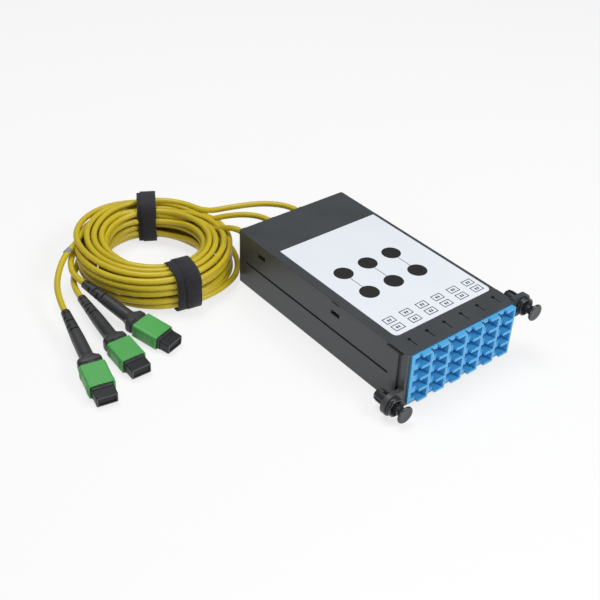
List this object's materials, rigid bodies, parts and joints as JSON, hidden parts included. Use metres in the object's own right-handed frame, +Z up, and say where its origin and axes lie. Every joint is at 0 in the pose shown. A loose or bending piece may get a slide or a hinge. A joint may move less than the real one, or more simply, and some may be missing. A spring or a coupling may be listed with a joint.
{
  "type": "fibre cassette",
  "caption": "Slim fibre patching cassette with blue quad LC adapters on the front, push-in panel fasteners and coiled yellow trunk cords ending in green multi-fibre push-on connectors.",
  "frame": {"origin": "middle of the housing's underside, between its side walls and between the front frame and the rear wall", "axes": "+X to the right seen from the ports, +Y from the ports to the rear wall, +Z up"},
  "size_m": [0.1806, 0.2047, 0.0305],
  "materials": {
    "black_plastic": "fine moulded texture",
    "label_film": "smooth film",
    "white_ceramic": "polished ceramic",
    "fastener_black": "semi-gloss",
    "adapter_blue": "satin moulding",
    "plug_blue": "satin moulding",
    "fibre_coat": "thin coat",
    "gland_rubber": "matt",
    "yellow_jacket": "smooth jacket",
    "connector_black": "satin",
    "boot_rubber": "matt",
    "spring_steel": "drawn wire",
    "coupling_green": "satin moulding",
    "ferrule_resin": "glass-filled resin",
    "dust_cap": "matt",
    "hook_and_loop": "woven loop"
  },
  "bodies": {
    "cassette": {"base_tray": "black_plastic", "top_cover": "black_plastic", "front_frame": "black_plastic", "label": "label_film", "lc_adapter_1": "adapter_blue", "lc_adapter_2": "adapter_blue", "lc_adapter_3": "adapter_blue", "lc_adapter_4": "adapter_blue", "lc_adapter_5": "adapter_blue", "lc_adapter_6": "adapter_blue", "alignment_sleeves": "white_ceramic", "plug_ferrules": "white_ceramic", "lc_plugs_a": "plug_blue", "fan_out_block_a": "black_plastic", "fibre_harness_a": "fibre_coat", "cord_gland_a": "gland_rubber", "lc_plugs_b": "plug_blue", "fan_out_block_b": "black_plastic", "fibre_harness_b": "fibre_coat", "cord_gland_b": "gland_rubber", "lc_plugs_c": "plug_blue", "fan_out_block_c": "black_plastic", "fibre_harness_c": "fibre_coat", "cord_gland_c": "gland_rubber", "grommet_left": "fastener_black", "grommet_right": "fastener_black", "cord_coil": "yellow_jacket", "strap_rear": "hook_and_loop", "strap_front": "hook_and_loop", "cord_lead_a": "yellow_jacket", "cord_tail_a": "yellow_jacket", "mpo_housing_a": "connector_black", "mpo_boot_a": "boot_rubber", "mpo_spring_a": "spring_steel", "cord_lead_b": "yellow_jacket", "cord_tail_b": "yellow_jacket", "mpo_housing_b": "connector_black", "mpo_boot_b": "boot_rubber", "mpo_spring_b": "spring_steel", "cord_lead_c": "yellow_jacket", "cord_tail_c": "yellow_jacket", "mpo_housing_c": "connector_black", "mpo_boot_c": "boot_rubber", "mpo_spring_c": "spring_steel"},
    "plunger_left": {"plunger_left": "fastener_black"},
    "plunger_right": {"plunger_right": "fastener_black"},
    "coupling_a": {"mpo_coupling_a": "coupling_green"},
    "mt_ferrule_a": {"mpo_ferrule_a": "ferrule_resin"},
    "dust_cap_a": {"mpo_dust_cap_a": "dust_cap"},
    "coupling_b": {"mpo_coupling_b": "coupling_green"},
    "mt_ferrule_b": {"mpo_ferrule_b": "ferrule_resin"},
    "dust_cap_b": {"mpo_dust_cap_b": "dust_cap"},
    "coupling_c": {"mpo_coupling_c": "coupling_green"},
    "mt_ferrule_c": {"mpo_ferrule_c": "ferrule_resin"},
    "dust_cap_c": {"mpo_dust_cap_c": "dust_cap"}
  },
  "joints": [
    {"name": "plunger_left_push", "type": "slide", "parent": "cassette", "child": "plunger_left", "axis": [0, 1, 0], "range_m": [0, 0.0042]},
    {"name": "plunger_right_push", "type": "slide", "parent": "cassette", "child": "plunger_right", "axis": [0, 1, 0], "range_m": [0, 0.0042]},
    {"name": "coupling_a_draw_back", "type": "slide", "parent": "cassette", "child": "coupling_a", "axis": [0.1812, 0.9778, 0.1054], "range_m": [0, 0.0015], "stiffness_N_per_m": 400},
    {"name": "mt_ferrule_a_float", "type": "slide", "parent": "cassette", "child": "mt_ferrule_a", "axis": [0.1812, 0.9778, 0.1054], "range_m": [0, 0.0006], "stiffness_N_per_m": 400, "deforming": ["mpo_spring_a"]},
    {"name": "dust_cap_a_pull_off", "type": "slide", "parent": "cassette", "child": "dust_cap_a", "axis": [-0.1812, -0.9778, -0.1054], "range_m": [0, 0.008]},
    {"name": "coupling_b_draw_back", "type": "slide", "parent": "cassette", "child": "coupling_b", "axis": [0.007, 0.9981, 0.061], "range_m": [0, 0.0015], "stiffness_N_per_m": 400},
    {"name": "mt_ferrule_b_float", "type": "slide", "parent": "cassette", "child": "mt_ferrule_b", "axis": [0.007, 0.9981, 0.061], "range_m": [0, 0.0006], "stiffness_N_per_m": 400, "deforming": ["mpo_spring_b"]},
    {"name": "dust_cap_b_pull_off", "type": "slide", "parent": "cassette", "child": "dust_cap_b", "axis": [-0.007, -0.9981, -0.061], "range_m": [0, 0.008]},
    {"name": "coupling_c_draw_back", "type": "slide", "parent": "cassette", "child": "coupling_c", "axis": [-0.3214, 0.9386, 0.1253], "range_m": [0, 0.0015], "stiffness_N_per_m": 400},
    {"name": "mt_ferrule_c_float", "type": "slide", "parent": "cassette", "child": "mt_ferrule_c", "axis": [-0.3214, 0.9386, 0.1253], "range_m": [0, 0.0006], "stiffness_N_per_m": 400, "deforming": ["mpo_spring_c"]},
    {"name": "dust_cap_c_pull_off", "type": "slide", "parent": "cassette", "child": "dust_cap_c", "axis": [0.3214, -0.9386, -0.1253], "range_m": [0, 0.008]}
  ]
}
